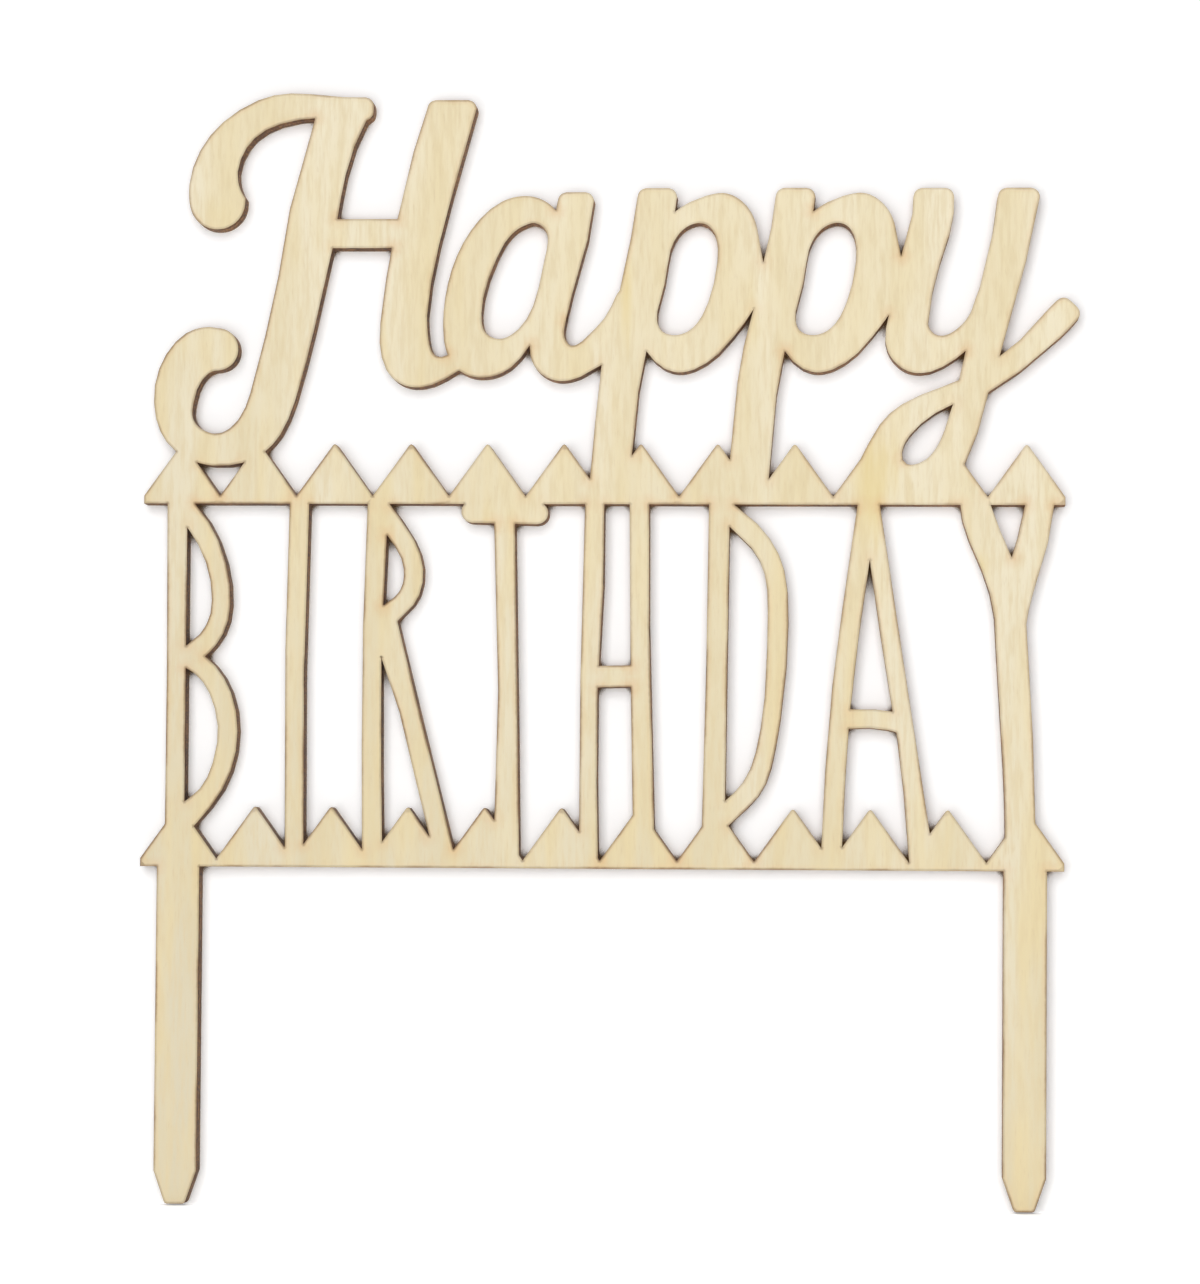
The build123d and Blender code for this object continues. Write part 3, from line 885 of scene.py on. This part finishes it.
# For each box: its place in metres, its watts, and how far past the middle of the sheet it is aimed.
SOFT_BOXES = (
    ("front_soft_box", (-0.01, -0.80, 0.20), 6.25, (0.25, 0, 0.25)),
    ("back_soft_box", (-0.20, 0.80, 0.35), 5.0, (0, 0, 0)),
)

middle = (cad_box[0] + cad_box[1]) / 2
for name, place, watts, aim_past in SOFT_BOXES:
    lamp_data = bpy.data.lights.new(name, "AREA")
    lamp_data.shape, lamp_data.energy = "RECTANGLE", watts
    lamp_data.size, lamp_data.size_y = BOX_WIDE, BOX_TALL
    lamp = bpy.data.objects.new(name, lamp_data)
    bpy.context.scene.collection.objects.link(lamp)
    lamp.location = place
    lamp.visible_camera = False
    aim = middle + Vector(aim_past) - lamp.location
    lamp.rotation_euler = aim.to_track_quat("-Z", "Y").to_euler()
    print(name, "distance m:", round((middle - lamp.location).length, 2))

# %% [markdown]
# ## Camera
# The picture was taken from close to the front, a little to the right of the middle and from low down, so the right
# sides and the undersides of the letters show, most of all at the left and at the top of the picture. The lens is
# shifted a little, as when a picture is cropped off its middle, and the camera is turned by a third of a degree.

# %% Camera
FRAME_TALL = 1284
FOCAL_PIXELS = 3332
SENSOR = 36.0
LENS_SHIFT = (-0.1, 0.1)
NEAREST, FARTHEST = 0.01, 50
CAMERA_PLACE = Vector((42.0, -532.7, 0.0)) * MM
YAW, PITCH, ROLL = (math.radians(v) for v in (2.317, 1.707, -0.356))
LEVEL = math.radians(90)

camera_data = bpy.data.cameras.new("camera")
camera_data.sensor_width = SENSOR
camera_data.lens = SENSOR * FOCAL_PIXELS / FRAME_TALL
camera_data.shift_x, camera_data.shift_y = LENS_SHIFT
camera_data.clip_start, camera_data.clip_end = NEAREST, FARTHEST
camera = bpy.data.objects.new("camera", camera_data)
bpy.context.scene.collection.objects.link(camera)
camera.matrix_world = (
    Matrix.Translation(CAMERA_PLACE)
    @ Matrix.Rotation(YAW, 4, "Z")
    @ Matrix.Rotation(LEVEL + PITCH, 4, "X")
    @ Matrix.Rotation(-ROLL, 4, "Z")
)
bpy.context.scene.camera = camera
print("lens mm:", round(camera_data.lens, 2))
